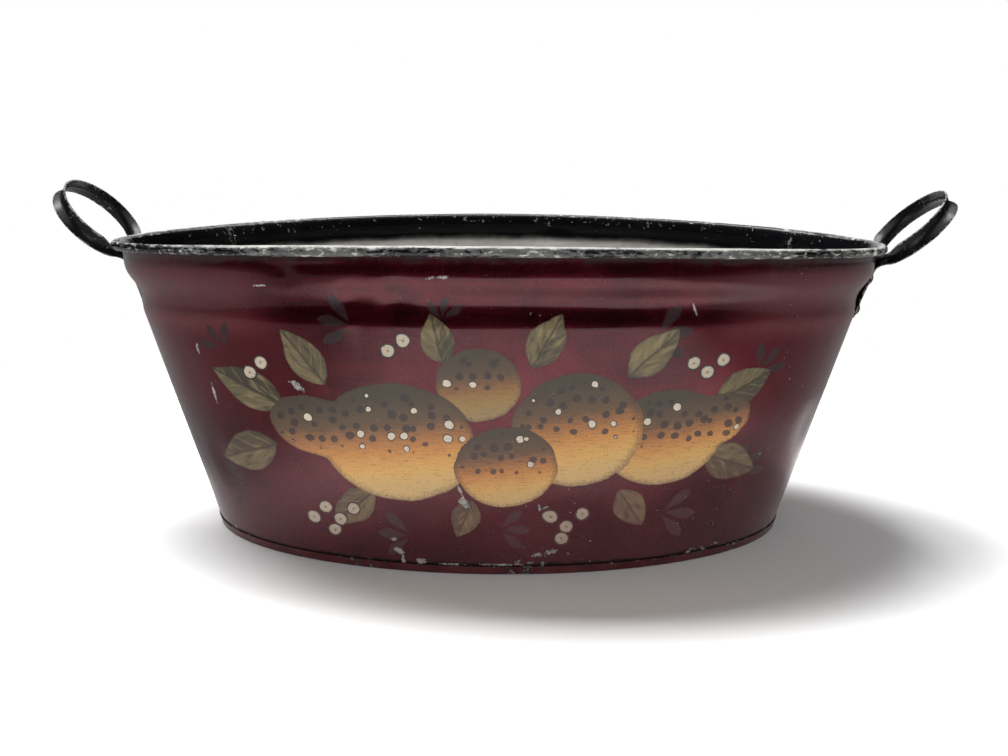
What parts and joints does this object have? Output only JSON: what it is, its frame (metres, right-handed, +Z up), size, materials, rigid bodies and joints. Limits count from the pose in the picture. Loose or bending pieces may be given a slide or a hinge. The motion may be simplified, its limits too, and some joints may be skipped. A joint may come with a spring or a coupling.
{
  "type": "ice bucket",
  "caption": "oval tapered tub of painted sheet iron with a wired rim, a folded chime, back seams and two riveted strap loop handles",
  "frame": {"origin": "middle of the base, on the surface that the chime stands on", "axes": "+X along the tub towards the right-hand handle, +Y towards the back, +Z up; the decorated front faces -Y"},
  "size_m": [0.6742, 0.3456, 0.2604],
  "materials": {
    "crimson_paint": "deep crimson gloss paint over sheet iron, brushed, scuffed and chipped; black japan on the inside and the rim",
    "black_japan": "black japan, satin, rubbed grey and chipped to bare metal on edges",
    "iron_wire": "plain drawn iron wire, hidden in the rim roll"
  },
  "bodies": {
    "root": {"front_wall": "crimson_paint", "back_wall": "crimson_paint", "floor_pan": "black_japan", "rim_wire": "iron_wire", "handle_left": "black_japan", "handle_right": "black_japan", "left_front_rivet_upper": "black_japan", "left_front_rivet_lower": "black_japan", "left_back_rivet_upper": "black_japan", "left_back_rivet_lower": "black_japan", "right_front_rivet_upper": "black_japan", "right_front_rivet_lower": "black_japan", "right_back_rivet_upper": "black_japan", "right_back_rivet_lower": "black_japan"}
  },
  "joints": []
}
